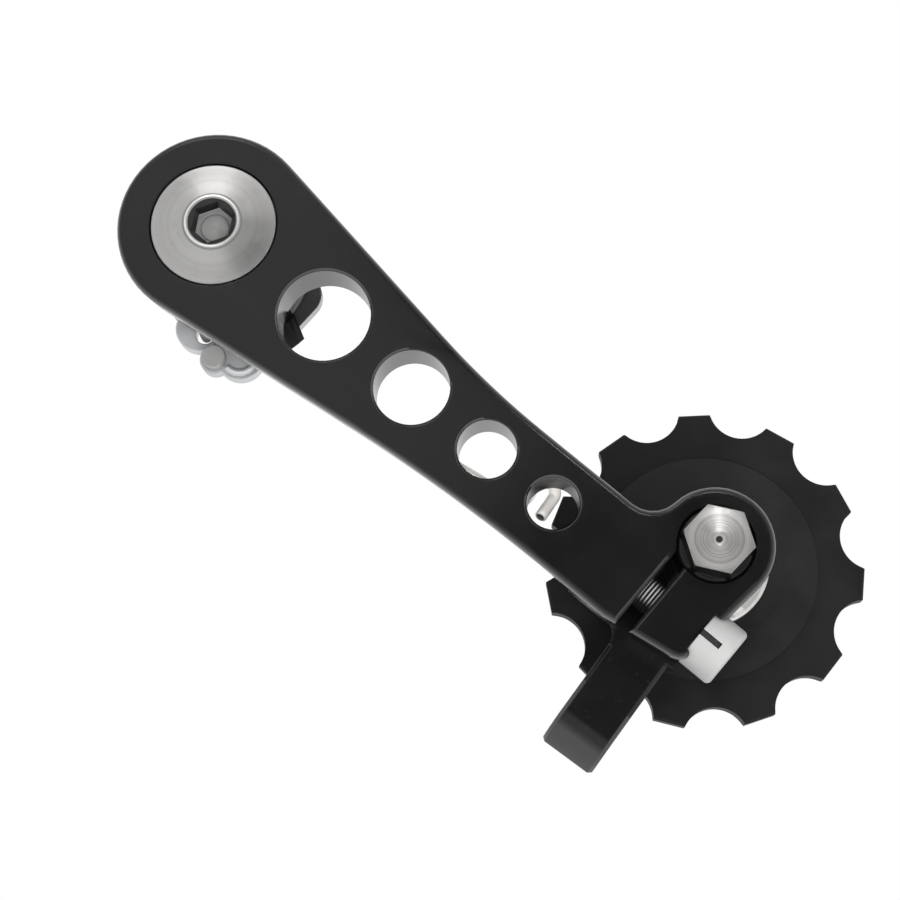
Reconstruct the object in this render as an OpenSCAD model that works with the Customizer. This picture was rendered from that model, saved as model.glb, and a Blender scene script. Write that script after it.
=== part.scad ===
// Bicycle chain tensioner: a sprung arm that swings on a hanger bolt and carries
// an eleven tooth pulley on a clamped axle.
// The origin is the centre of the face that meets the frame's hanger, +Z is the
// outer side, and +X runs from the pivot along the row of holes to the pulley.

/* [Arm plate] */
// Thickness of the arm plate
arm_t = 7; // [6.8:0.1:9]
// Radius of the rounded edges of the arm plate
arm_edge_r = 0.9; // [0.3:0.1:1.2]
// Radius of the big round end at the pivot
big_end_r = 13.1; // [12.5:0.1:15]
// Height of the arm's straight upper edge above the row of holes
upper_edge_y = 6.6; // [6.2:0.1:7.2]
// Distance from the pivot at which the upper taper meets that edge
upper_taper_len = 52; // [48:1:56]
// Share of the longest bend that the upper taper may take
upper_bend_share = 0.6; // [0.3:0.05:0.9]
// Depth of the arm's straight lower edge below the row of holes
lower_edge_y = 7.1; // [6.4:0.1:7.6]
// Distance from the pivot at which the lower taper meets that edge
lower_taper_len = 64; // [58:1:66]
// Share of the longest bend that the lower taper may take
lower_bend_share = 0.78; // [0.3:0.01:0.9]
// Draft of the arm's side walls, as a share of its thickness
draft_share = 0.09; // [0:0.01:0.1]
// Radius of the hollow between the straight part and the axle boss
valley_r = 4; // [3:0.5:5]

/* [Lightening holes] */
// Distance of each hole from the pivot
hole_x = [19.8, 35.1, 48, 59.1];
// Radius of each hole
hole_r = [6.2, 5.05, 3.9, 3.4];
// Width of the bevel round each hole
hole_bevel = 0.3; // [0.1:0.05:0.6]

/* [Pivot] */
// Distance from the hanger face to the front of the arm
stack_h = 22.6; // [22:0.2:26]
// Radius of the shoulder that the arm swings on
shoulder_r = 5.5; // [5.3:0.1:5.7]
// Wall of the pivot bushing
bushing_wall = 1; // [0.7:0.1:1.1]
// Thickness of the bushing's flange
bushing_flange_t = 0.6; // [0.4:0.1:0.9]
// Radius of the pivot bolt's wide head
head_r = 8.4; // [8:0.1:9]
// Thickness of the pivot bolt's head at its rim
head_rim_t = 0.8; // [0.5:0.1:1.2]
// Rise of the head from its rim to the ring round the socket
head_rise = 1.1; // [0.6:0.1:1.6]
// Width across the flats of the socket in the pivot bolt
pivot_key_w = 5; // [4:0.5:6]
// Depth of that socket, whose floor shows close to its mouth
pivot_key_depth = 2.6; // [2:0.2:5]
// Nominal radius of the thread that screws into the hanger
hanger_thread_r = 5; // [4.8:0.1:5.2]
// Length of that thread
hanger_thread_len = 9.5; // [7:0.5:12]

/* [Stop plate] */
// Thickness of the pressed stop plate
plate_t = 2; // [1.5:0.1:2.2]
// Radius of the round body of the stop plate
plate_r = 10.9; // [10.4:0.1:11.5]
// Place of the lobe that holds the spring's end
anchor_lobe = [1.7, -9.6];
// Place of the lobe with the pressed ridge
stop_lobe = [9, -9];
// Place of the corner behind the first hole
guard_lobe = [9.2, 3.2];
// Radius of the lobes and of the corner
lobe_r = 3.4; // [3:0.1:3.8]
// Length of the tab that is folded back against the dropout
stop_tab_len = 5; // [3:0.5:7]
// Direction of the middle of that tab
stop_tab_angle = 120; // [100:5:150]
// Radius of the pressed ridge on the stop lobe
ridge_r = 0.45; // [0.3:0.05:0.6]
// Place of the riveted pin that limits the swing
stop_pin_at = [6.5, -11.6];
// Radius of that pin
stop_pin_r = 1.65; // [1.2:0.05:1.8]
// Height of the pin above the plate
stop_pin_h = 1.6; // [1.4:0.1:3]

/* [Spring] */
// Diameter of the spring wire
wire_d = 1.6; // [1.2:0.1:1.8]
// Radius of the coil at the middle of the wire
coil_r = 10.2; // [9.8:0.1:10.6]
// Number of turns in the coil
coil_turns = 5; // [3:1:6]
// Direction of the long leg, counted from the row of holes
leg_angle = 9; // [8:0.5:10]
// Length of the straight part of the long leg
leg_len = 52.8; // [52.4:0.1:53.2]

/* [Axle clamp] */
// Place of the axle, along and across the row of holes
axle_at = [78.4, 9.2];
// Radius of the boss round the axle
boss_r = 7.6; // [7.2:0.1:8.4]
// Radius of the round body that the clamp grips
axle_r = 5; // [4.7:0.1:5.3]
// Width of the slit through the clamp
slit_w = 2; // [1:0.1:2.4]
// Shift of the slit from the axle, along the arm
slit_shift = -2.4; // [-3:0.1:0]
// Bevel along the front edges of the slit
slit_bevel = 0.5; // [0.2:0.1:0.8]
// Depth of the clamp's lower edge below the row of holes
lug_drop = 5.6; // [5:0.1:6]
// Radius of the outer corner of the lug
lug_corner_r = 2.1; // [1.5:0.1:3]
// Place of the pinch bolt across the arm
pinch_y = -0.75; // [-1:0.05:0.1]
// Nominal radius of the pinch bolt's thread
pinch_r = 2.5; // [2:0.1:2.5]
// Length of the pinch bolt below its head
pinch_len = 16; // [14:1:18]
// Radius of the pinch bolt's head
pinch_head_r = 4.15; // [3.8:0.05:4.5]
// Height of the pinch bolt's head
pinch_head_h = 4.8; // [4:0.1:5.5]

/* [Chain guide] */
// Width of the guide bar
bar_w = 7.8; // [6.5:0.1:8.2]
// Thickness of the guide bar
bar_t = 2.4; // [1.8:0.1:2.8]
// Lean of the guide bar away from square to the arm
bar_lean = 4; // [2:0.5:8]
// Length of the flat part of the bar below the lug
bar_flat = 12.3; // [10:0.1:13]
// Place of the bar's middle past the axle, along the arm
bar_shift = 0.9; // [0.5:0.1:1.5]
// Inner radius of the bend at the bar's tip
bar_bend_r = 3.5; // [2.5:0.5:5]
// Angle through which the tip is bent back
bar_bend_angle = 60; // [40:5:80]

/* [Axle] */
// Width across the flats of the axle's hexagon
axle_hex_w = 8; // [7:0.1:8.2]
// Height of the hexagon's top above the front of the arm
axle_hex_h = 3.9; // [3:0.1:6]
// Turn of the hexagon's corners from the row of holes
axle_hex_turn = 27; // [0:1:60]
// Distance from the front of the arm back to the axle's flange
flange_depth = 13.9; // [13:0.1:17]
// Radius of the axle's flange
flange_r = 8.35; // [7.5:0.05:8.8]
// Thickness of the axle's flange
flange_t = 2.2; // [1.5:0.1:3]

/* [Bearing] */
// Bore radius of the bearing
bearing_bore_r = 4; // [3.5:0.1:4.2]
// Outer radius of the bearing
bearing_r = 8; // [7.8:0.1:8.4]
// Width of the bearing
bearing_w = 5; // [4:0.5:6]
// Radius of each ball
ball_r = 1.2; // [1:0.05:1.3]
// Number of balls
ball_count = 9; // [6:1:10]

/* [Pulley] */
// Number of teeth
teeth = 11; // [9:1:13]
// Chain pitch
chain_pitch = 12.7;
// Radius of the round valleys between the teeth
valley_cut_r = 4.5; // [3.9:0.05:4.6]
// Distance of the valleys' centres outside the pitch circle
valley_shift = 0.75; // [0:0.05:0.8]
// Distance of the flat tooth tips inside the pitch circle
tip_drop = 1.05; // [0.8:0.05:2]
// Thickness of the teeth
tooth_t = 3; // [2:0.1:3.2]
// Outer radius of the raised web on each face
web_r = 15.2; // [14:0.1:16]
// Height of the web above the teeth on each side
web_rise = 0.6; // [0.3:0.1:1]
// Outer radius of the lip round the bearing
lip_r = 10.4; // [9.6:0.1:11]
// Height of the lip beyond the bearing's face
lip_rise = 0.3; // [0.1:0.1:0.5]
// Angle of the first tooth from the row of holes
tooth_phase = 1.7; // [0:0.1:32.7]

/* [Fits] */
// Running clearance on radius of a turning or sliding fit
run_gap = 0.05; // [0.02:0.01:0.08]
// Clearance on radius between parts that never touch
free_gap = 0.3; // [0.2:0.05:0.4]
// Clearance between faces that run past each other
face_gap = 0.05; // [0.02:0.01:0.1]

/* [Hidden] */
$fn = 64;
// Extra length by which a cut passes through its face
over = 1;
// Longest chord on the arm's outline
chord = 1.3;
// Width by which the band that carries the rounded edge laps the core
band_lap = 0.3;
// Steps in each rounded edge
edge_steps = 4;
// Distance across the flats to distance across the corners of a hexagon
hex_corner_share = 1 / cos(30);
// Heights at the pivot
clip_t = 0.8;
clip_lift = 0.1;
plate_z = clip_lift + clip_t + clip_lift;
washer_t = 0.6;
washer_z = plate_z + plate_t;
hub_z = washer_z + washer_t + face_gap;
arm_front = stack_h;
arm_back = stack_h - arm_t;
arm_draft = arm_t * draft_share;
// The recess for the pivot bolt's head and the hub behind the arm
head_gap = 0.25;
recess_depth = bushing_flange_t + head_rim_t;
bushing_r = shoulder_r + run_gap + bushing_wall;
bushing_flange_r = head_r - head_gap;
hub_r = coil_r - wire_d / 2 - free_gap;
// The pivot bolt's head and groove
head_z = arm_front - head_rim_t;
socket_ring_wall = 0.55;
socket_ring_r = pivot_key_w / 2 * hex_corner_share + socket_ring_wall;
ring_bevel = 0.25;
clip_groove = 0.7;
clip_wall = 1.3;
clip_open_angle = 70;
thread_chamfer = 0.8;
// The stop lug behind the arm
stop_lug_in = coil_r + wire_d / 2 + free_gap;
stop_lug_out = 14.6;
stop_lug_angles = [-22, -5];
stop_lug_lap = 0.8;
stop_lug_z = plate_z + plate_t + stop_pin_h - stop_lug_lap;
// The stop plate's ridge, its folded tab and the metal round its pin
ridge_start = -100;
ridge_sweep = 120;
ridge_inset = 1.1;
stop_tab_sweep = 50;
pin_seat_wall = 0.5;
// The spring
coil_z = arm_back - wire_d / 2 - free_gap / 2;
coil_end_z = washer_z + wire_d / 2 + free_gap;
wire_sides = 10;
coil_facets = 26;
hook_r = 1.5;
hook_drop = 3.3;
bend_steps = 4;
anchor_turn = 7;
anchor_angle = atan2(anchor_lobe[1], anchor_lobe[0]) + anchor_turn;
anchor_at = coil_r * [cos(anchor_angle), sin(anchor_angle)];
anchor_gap = 0.6;
anchor_hole_r = wire_d / 2 + anchor_gap;
// The axle clamp and its bolt
slit_x = axle_at[0] + slit_shift;
slit_left = slit_x - slit_w / 2;
lug_inset = 1.2;
lug_right = axle_at[0] + boss_r - lug_inset;
corner_spare = 0.1;
left_corner_r = arm_edge_r + arm_draft + band_lap + corner_spare;
left_corner = [slit_left - left_corner_r, left_corner_r - lower_edge_y];
right_corner_r = max(lug_corner_r, left_corner_r);
lug_corner = [lug_right - right_corner_r, right_corner_r - lug_drop];
pinch_z = arm_front - arm_t / 2;
pinch_seat_depth = 0.9;
pinch_seat = lug_right - pinch_seat_depth;
pinch_key_w = 4;
pinch_key_depth = 2.5;
pinch_edge = 0.5;
pinch_groove_w = 0.8;
pinch_groove_depth = 0.35;
pinch_groove_share = 0.62;
// The guide bar
bar_gap = 0.7;
bar_z = arm_back - bar_gap - bar_t;
bar_edge = 0.5;
bar_root = [axle_at[0] + bar_shift, -lug_drop];
bar_foot_w = 8;
bar_foot_h = 5;
bar_fillet_r = 2.5;
// The axle, its bearing and what keeps them together
axle_hex_bevel = 0.2;
axle_hex_r = axle_hex_w / 2 * hex_corner_share;
flange_z = arm_front - flange_depth - flange_t;
flange_step = 0.4;
flange_bevel = 0.3;
bearing_z = flange_z - flange_step - bearing_w;
bearing_mid = bearing_z + bearing_w / 2;
race_share = 0.28;
race_wall = (bearing_r - bearing_bore_r) * race_share;
inner_race_r = bearing_bore_r + race_wall;
outer_race_r = bearing_r - race_wall;
ball_ring_r = (bearing_bore_r + bearing_r) / 2;
ball_gap = 0.02;
shield_t = 0.3;
shield_inset = 0.2;
shield_seat = 0.25;
cage_rib = 0.45;
cage_gap = 0.08;
axle_washer_t = 0.6;
axle_washer_z = bearing_z - axle_washer_t;
axle_clip_t = 0.8;
axle_clip_z = axle_washer_z - axle_clip_t;
axle_tail = 1.2;
axle_chamfer = 0.5;
dimple_r = 0.9;
dimple_depth = 0.8;
// The pulley
pitch_r = chain_pitch / 2 / sin(180 / teeth);
tip_flat_r = pitch_r - tip_drop;
tooth_step = 360 / teeth;
tooth_bevel = 0.35;
tip_corner_r = tip_flat_r / cos(tooth_step / 2);
tip_bevel_r = tip_corner_r - tooth_bevel;

// Longest bend that still meets the big end
function bend_limit(start, edge_y) =
    (start * start + edge_y * edge_y - big_end_r * big_end_r) / 2 / (big_end_r - edge_y);

// Turning points of the arm's outline, each with the radius of its round.
// A hollow has a radius below zero. They run counterclockwise.
upper_bend_r = bend_limit(upper_taper_len, upper_edge_y) * upper_bend_share;
lower_bend_r = bend_limit(lower_taper_len, lower_edge_y) * lower_bend_share;
valley_y = upper_edge_y + valley_r;
valley_x = axle_at[0] - sqrt(pow(boss_r + valley_r, 2) - pow(axle_at[1] - valley_y, 2));
arm_rounds = [
    [[0, 0], big_end_r],
    [[lower_taper_len, -lower_edge_y - lower_bend_r], -lower_bend_r],
    [left_corner, left_corner_r],
    [lug_corner, right_corner_r],
    [axle_at, boss_r],
    [[valley_x, valley_y], -valley_r],
    [[upper_taper_len, upper_edge_y + upper_bend_r], -upper_bend_r]
];

// Direction of the outward normal on the straight line from round a to round b
function line_normal(a, b) =
    let (d = b[0] - a[0], reach = norm(d))
    atan2(d[1], d[0]) - acos(max(-1, min(1, (a[1] - b[1]) / reach)));

function wrap(a) = a - 360 * floor(a / 360);

// Pairs of a centre and an angle along the outline, with the round's radius
function outline_samples(rounds) = [
    for (i = [0 : len(rounds) - 1])
    let (
        before = rounds[(i + len(rounds) - 1) % len(rounds)],
        here = rounds[i],
        after = rounds[(i + 1) % len(rounds)],
        a0 = line_normal(before, here),
        a1 = line_normal(here, after),
        turn = here[1] > 0 ? wrap(a1 - a0) : -wrap(a0 - a1),
        n = max(2, ceil(abs(turn * here[1]) * PI / 180 / chord))
    )
    for (k = [0 : n]) [here[0], here[1], a0 + turn * k / n]
];

// The outline drawn in by one distance
function inset_outline(samples, inset) = [
    for (s = samples) s[0] + (s[1] - inset) * [cos(s[2]), sin(s[2])]
];

// A band round the outline with a rounded outer face that leans in towards the back,
// its inner side hidden in the core
module rounded_band(samples, thickness, edge, draft) {
    n = len(samples);
    levels = concat(
        [[edge + draft + band_lap, 0]],
        [for (k = [0 : edge_steps]) let (a = 90 * k / edge_steps)
            [draft + edge * (1 - sin(a)), edge * (1 - cos(a))]],
        [for (k = [0 : edge_steps]) let (a = 90 * k / edge_steps)
            [edge * (1 - cos(a)), thickness - edge * (1 - sin(a))]],
        [[edge + draft + band_lap, thickness]]
    );
    m = len(levels);
    points = [for (l = levels) for (p = inset_outline(samples, l[0])) [p[0], p[1], l[1]]];
    faces = [for (l = [0 : m - 1]) for (i = [0 : n - 1]) let (up = (l + 1) % m, next = (i + 1) % n)
        [l * n + i, up * n + i, up * n + next, l * n + next]];
    polyhedron(points, faces, convexity = 6);
}

// A flat plate on z = 0 with rounded edges all round
module rounded_plate(rounds, thickness, edge, draft) {
    samples = outline_samples(rounds);
    linear_extrude(height = thickness) polygon(inset_outline(samples, edge + draft));
    rounded_band(samples, thickness, edge, draft);
}

// A tube with a round wall
module ring(r_in, r_out, h) {
    difference() {
        cylinder(r = r_out, h = h);
        translate([0, 0, -over]) cylinder(r = r_in, h = h + 2 * over);
    }
}

// A spring clip, open over one angle
module open_ring(r_in, r_out, h, gap_angle, turn) {
    rotate([0, 0, turn + gap_angle / 2])
        rotate_extrude(angle = 360 - gap_angle) translate([r_in, 0]) square([r_out - r_in, h]);
}

// A hole through the arm with a bevel on both faces
module bevelled_hole(x, r) {
    translate([x, 0, arm_back - over]) cylinder(r = r, h = arm_t + 2 * over);
    translate([x, 0, arm_front - hole_bevel]) cylinder(r1 = r, r2 = r + hole_bevel, h = hole_bevel);
    translate([x, 0, arm_back]) cylinder(r1 = r + hole_bevel, r2 = r, h = hole_bevel);
}

// The section of the guide bar, its front face at zero, with bevelled edges
module bar_section() {
    half = bar_w / 2;
    polygon([
        [-half + bar_edge, 0], [half - bar_edge, 0], [half, -bar_edge], [half, bar_edge - bar_t],
        [half - bar_edge, -bar_t], [-half + bar_edge, -bar_t], [-half, bar_edge - bar_t], [-half, -bar_edge]
    ]);
}

// The guide bar that keeps the chain on the pulley, folded back at its tip
module guide_bar() {
    translate([bar_root[0], bar_root[1], bar_z + bar_t]) rotate([0, 0, bar_lean]) {
        translate([0, bar_foot_h / 2, 0]) rotate([90, 0, 0])
            linear_extrude(height = bar_flat + bar_foot_h / 2) bar_section();
        translate([0, -bar_flat, -bar_t - bar_bend_r]) rotate([0, -90, 0]) rotate([180, 0, 0])
            rotate_extrude(angle = bar_bend_angle) translate([bar_bend_r + bar_t, 0])
                rotate([0, 0, -90]) bar_section();
        translate([-bar_w / 2 - bar_fillet_r, -bar_fillet_r, -bar_t]) difference() {
            cube([bar_fillet_r + bar_edge, bar_fillet_r + bar_foot_h / 2, bar_t]);
            translate([0, 0, -over]) cylinder(r = bar_fillet_r, h = bar_t + 2 * over);
        }
    }
}

// The foot that joins the guide bar to the back of the arm beside the slit
module bar_foot() {
    left = slit_left - bar_foot_w;
    translate([left, arm_edge_r - lower_edge_y, bar_z])
        cube([bar_foot_w, bar_foot_h, arm_back - bar_z + over]);
    translate([left, bar_root[1], bar_z]) cube([lug_right - left - arm_edge_r, bar_foot_h, bar_t]);
}

// The cut that bevels both front edges of the slit
module slit_bevel_cut() {
    half = slit_w / 2;
    wide = half + slit_bevel;
    translate([slit_x, axle_at[1], arm_front]) rotate([90, 0, 0])
        linear_extrude(height = axle_at[1] + lower_edge_y + over)
            polygon([
                [-wide, 0], [-half, -slit_bevel], [half, -slit_bevel],
                [wide, 0], [wide, over], [-wide, over]
            ]);
}

module arm() color([0.05, 0.05, 0.055]) {
    difference() {
        union() {
            translate([0, 0, arm_back]) rounded_plate(arm_rounds, arm_t, arm_edge_r, arm_draft);
            translate([0, 0, hub_z]) cylinder(r = hub_r, h = arm_back - hub_z + over);
            rotate([0, 0, stop_lug_angles[0]]) translate([0, 0, stop_lug_z])
                rotate_extrude(angle = stop_lug_angles[1] - stop_lug_angles[0])
                    translate([stop_lug_in, 0])
                        square([stop_lug_out - stop_lug_in, arm_back - stop_lug_z + over]);
            bar_foot();
            guide_bar();
        }
        translate([0, 0, arm_front - recess_depth])
            cylinder(r = head_r + head_gap, h = recess_depth + over);
        translate([0, 0, hub_z - over]) cylinder(r = bushing_r, h = stack_h);
        for (i = [0 : len(hole_x) - 1]) bevelled_hole(hole_x[i], hole_r[i]);
        translate([axle_at[0], axle_at[1], arm_back - over])
            cylinder(r = axle_r + run_gap, h = arm_t + 2 * over);
        translate([slit_left, -lower_edge_y - over, arm_back - bar_gap])
            cube([slit_w, axle_at[1] + lower_edge_y + over, arm_t + bar_gap + over]);
        slit_bevel_cut();
        translate([pinch_seat - pinch_len - free_gap, pinch_y, pinch_z]) rotate([0, 90, 0])
            cylinder(r = pinch_r + run_gap, h = pinch_len + boss_r);
        translate([pinch_seat, pinch_y, pinch_z]) rotate([0, 90, 0])
            cylinder(r = pinch_head_r + free_gap, h = boss_r);
    }
}
module pivot_bolt() color("silver") {
    difference() {
        rotate_extrude() polygon([
            [0, -hanger_thread_len],
            [hanger_thread_r - thread_chamfer, -hanger_thread_len],
            [hanger_thread_r, thread_chamfer - hanger_thread_len],
            [hanger_thread_r, 0],
            [shoulder_r, 0],
            [shoulder_r, head_z],
            [head_r, head_z],
            [head_r, arm_front],
            [socket_ring_r, arm_front + head_rise],
            [socket_ring_r - ring_bevel, arm_front + head_rise + ring_bevel],
            [0, arm_front + head_rise + ring_bevel]
        ]);
        translate([0, 0, arm_front + head_rise - pivot_key_depth])
            cylinder(r = pivot_key_w / 2 * hex_corner_share, h = pivot_key_depth + over, $fn = 6);
        translate([0, 0, clip_lift]) ring(shoulder_r - clip_groove, shoulder_r + over, clip_t);
    }
}
module pivot_bushing() color("goldenrod") {
    z_flange = arm_front - recess_depth;
    difference() {
        union() {
            translate([0, 0, hub_z]) cylinder(r = bushing_r, h = z_flange - hub_z);
            translate([0, 0, z_flange]) cylinder(r = bushing_flange_r, h = bushing_flange_t - face_gap);
        }
        translate([0, 0, hub_z - over]) cylinder(r = shoulder_r + run_gap, h = stack_h);
    }
}
module thrust_washer() color("silver") {
    translate([0, 0, washer_z]) ring(shoulder_r + run_gap, hub_r, washer_t);
}
module pivot_clip() color("dimgray") {
    translate([0, 0, clip_lift])
        open_ring(shoulder_r - clip_groove, shoulder_r + clip_wall, clip_t, clip_open_angle, 90);
}
module stop_plate() color("lightgray") {
    along = guard_lobe - stop_lobe;
    side = lobe_r * [along[1], -along[0]] / norm(along);
    difference() {
        union() {
            translate([0, 0, plate_z]) cylinder(r = plate_r, h = plate_t);
            for (p = [anchor_lobe, stop_lobe, guard_lobe])
                translate([p[0], p[1], plate_z]) cylinder(r = lobe_r, h = plate_t);
            translate([stop_pin_at[0], stop_pin_at[1], plate_z])
                cylinder(r = stop_pin_r + pin_seat_wall, h = plate_t);
            translate([0, 0, plate_z]) linear_extrude(height = plate_t)
                polygon([stop_lobe + side, guard_lobe + side, guard_lobe, stop_lobe]);
            rotate([0, 0, stop_tab_angle - stop_tab_sweep / 2])
                translate([0, 0, plate_z - stop_tab_len]) rotate_extrude(angle = stop_tab_sweep)
                    translate([plate_r - plate_t, 0]) square([plate_t, stop_tab_len + over]);
            translate([stop_lobe[0], stop_lobe[1], plate_z + plate_t]) rotate([0, 0, ridge_start])
                rotate_extrude(angle = ridge_sweep) translate([lobe_r - ridge_inset, 0])
                    circle(r = ridge_r);
        }
        translate([0, 0, plate_z - over]) cylinder(r = shoulder_r + run_gap, h = plate_t + 2 * over);
        translate([anchor_at[0], anchor_at[1], plate_z - over])
            cylinder(r = anchor_hole_r, h = plate_t + 2 * over);
        translate([stop_pin_at[0], stop_pin_at[1], plate_z - over])
            cylinder(r = stop_pin_r, h = plate_t + 2 * over);
    }
}
module stop_pin() color("gray") {
    translate([stop_pin_at[0], stop_pin_at[1], plate_z])
        cylinder(r = stop_pin_r, h = plate_t + stop_pin_h);
}

// The middle line of the spring wire, from the anchor in the plate to the hook
leg_start_angle = leg_angle - 90;
coil_sweep = 360 * coil_turns + wrap(leg_start_angle - anchor_angle) - 360;
function coil_point(a) =
    let (share = a / coil_sweep)
    [coil_r * cos(anchor_angle + a), coil_r * sin(anchor_angle + a),
     coil_end_z + (coil_z - coil_end_z) * share];
leg_dir = [cos(leg_angle), sin(leg_angle)];
leg_side = [-sin(leg_angle), cos(leg_angle)];
leg_start = coil_r * [cos(leg_start_angle), sin(leg_start_angle)];
function leg_point(along, across, z) =
    let (p = leg_start + along * leg_dir + across * leg_side) [p[0], p[1], z];
coil_count = ceil(coil_sweep / 360 * coil_facets);
hook_z = coil_z + wire_d;
wire_path = concat(
    [[anchor_at[0], anchor_at[1], plate_z + plate_t / 4]],
    [for (i = [0 : coil_count]) coil_point(coil_sweep * i / coil_count)],
    [for (i = [1 : bend_steps - 1]) leg_point(leg_len * i / bend_steps, 0, coil_z)],
    [for (i = [0 : bend_steps]) let (a = 90 * i / bend_steps)
        leg_point(leg_len + hook_r * sin(a), hook_r * (1 - cos(a)), coil_z)],
    [for (i = [0 : 2 * bend_steps]) let (a = 90 * i / bend_steps)
        leg_point(leg_len + 2 * hook_r - hook_r * cos(a), 2 * hook_r + hook_r * sin(a), coil_z)],
    [leg_point(leg_len + 3 * hook_r, 2 * hook_r - hook_drop, hook_z)]
);

function unit(v) = v / norm(v);

// A round wire swept along a path with parallel transported sections
function wire_frames(path, i = 0, side = [1, 0, 0], done = []) =
    i == len(path) ? done :
    let (
        ahead = path[min(i + 1, len(path) - 1)],
        behind = path[max(i - 1, 0)],
        along = unit(ahead - behind),
        flat = side - (side * along) * along,
        next = unit(flat)
    )
    wire_frames(path, i + 1, next, concat(done, [[path[i], next, cross(along, next)]]));

module wire(path, r) {
    frames = wire_frames(path);
    n = wire_sides;
    points = [for (f = frames) for (k = [0 : n - 1]) let (a = 360 * k / n)
        f[0] + r * (cos(a) * f[1] + sin(a) * f[2])];
    sides = [for (i = [0 : len(path) - 2]) for (k = [0 : n - 1])
        [i * n + k, (i + 1) * n + k, (i + 1) * n + (k + 1) % n, i * n + (k + 1) % n]];
    first = [[for (k = [0 : n - 1]) k]];
    last = [[for (k = [n - 1 : -1 : 0]) (len(path) - 1) * n + k]];
    polyhedron(points, concat(sides, first, last), convexity = 10);
}
module torsion_spring() color("silver") {
    wire(wire_path, wire_d / 2);
}
module pinch_bolt() color("silver") {
    translate([pinch_seat, pinch_y, pinch_z]) rotate([0, 90, 0]) difference() {
        union() {
            translate([0, 0, -pinch_len]) cylinder(r = pinch_r, h = pinch_len);
            rotate_extrude() polygon([
                [0, 0], [pinch_head_r, 0], [pinch_head_r, pinch_head_h - pinch_edge],
                [pinch_head_r - pinch_edge, pinch_head_h], [0, pinch_head_h]
            ]);
        }
        translate([0, 0, pinch_head_h - pinch_key_depth])
            cylinder(r = pinch_key_w / 2 * hex_corner_share, h = pinch_key_depth + over, $fn = 6);
        translate([-pinch_head_r - over, -pinch_groove_w / 2, -over])
            cube([pinch_groove_depth + over, pinch_groove_w, pinch_head_h * pinch_groove_share + over]);
    }
}
module axle() color("silver") {
    top_r = axle_hex_r - axle_hex_bevel;
    translate([axle_at[0], axle_at[1], 0]) difference() {
        union() {
            rotate_extrude() polygon([
                [0, axle_clip_z - axle_tail],
                [bearing_bore_r - axle_chamfer, axle_clip_z - axle_tail],
                [bearing_bore_r, axle_clip_z - axle_tail + axle_chamfer],
                [bearing_bore_r, bearing_z + bearing_w],
                [inner_race_r, bearing_z + bearing_w],
                [inner_race_r, flange_z],
                [flange_r - flange_bevel, flange_z],
                [flange_r, flange_z + flange_bevel],
                [flange_r, flange_z + flange_t - flange_bevel],
                [flange_r - flange_bevel, flange_z + flange_t],
                [axle_r, flange_z + flange_t],
                [axle_r, arm_front - axle_chamfer],
                [axle_r - axle_chamfer, arm_front],
                [0, arm_front]
            ]);
            intersection() {
                rotate([0, 0, axle_hex_turn])
                    cylinder(r = axle_hex_r, h = arm_front + axle_hex_h, $fn = 6);
                translate([0, 0, arm_front - over])
                    cylinder(r1 = top_r + axle_hex_h + over, r2 = top_r, h = axle_hex_h + over);
            }
        }
        translate([0, 0, arm_front + axle_hex_h - dimple_depth])
            cylinder(r1 = 0, r2 = dimple_r, h = dimple_depth);
        translate([0, 0, axle_clip_z])
            ring(bearing_bore_r - clip_groove, bearing_bore_r + over, axle_clip_t);
    }
}
module axle_washer() color("silver") {
    translate([axle_at[0], axle_at[1], axle_washer_z])
        ring(bearing_bore_r + run_gap, inner_race_r, axle_washer_t);
}
module axle_clip() color("dimgray") {
    r_in = bearing_bore_r - clip_groove;
    translate([axle_at[0], axle_at[1], axle_clip_z])
        open_ring(r_in, bearing_bore_r + clip_wall, axle_clip_t, clip_open_angle, 180);
}

// One bearing race with the groove that the balls run in
module race(r_in, r_out) {
    difference() {
        translate([axle_at[0], axle_at[1], bearing_z]) ring(r_in, r_out, bearing_w);
        translate([axle_at[0], axle_at[1], bearing_mid]) rotate_extrude()
            translate([ball_ring_r, 0]) circle(r = ball_r + ball_gap);
    }
}
module inner_race() color("silver") race(bearing_bore_r, inner_race_r);
module outer_race() color("silver") race(outer_race_r, bearing_r);
module ball(i) color("silver") {
    a = 360 * i / ball_count;
    translate([axle_at[0] + ball_ring_r * cos(a), axle_at[1] + ball_ring_r * sin(a), bearing_mid])
        sphere(r = ball_r);
}
module ball_cage() color("goldenrod") {
    wall = outer_race_r - inner_race_r - 2 * free_gap;
    half = ball_r + cage_rib;
    translate([axle_at[0], axle_at[1], bearing_mid]) difference() {
        translate([0, 0, -half]) ring(ball_ring_r - wall / 2, ball_ring_r + wall / 2, 2 * half);
        for (i = [0 : ball_count - 1]) rotate([0, 0, 360 * i / ball_count])
            translate([ball_ring_r - wall, 0, 0]) rotate([0, 90, 0])
                cylinder(r = ball_r + cage_gap, h = 2 * wall);
    }
}

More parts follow.
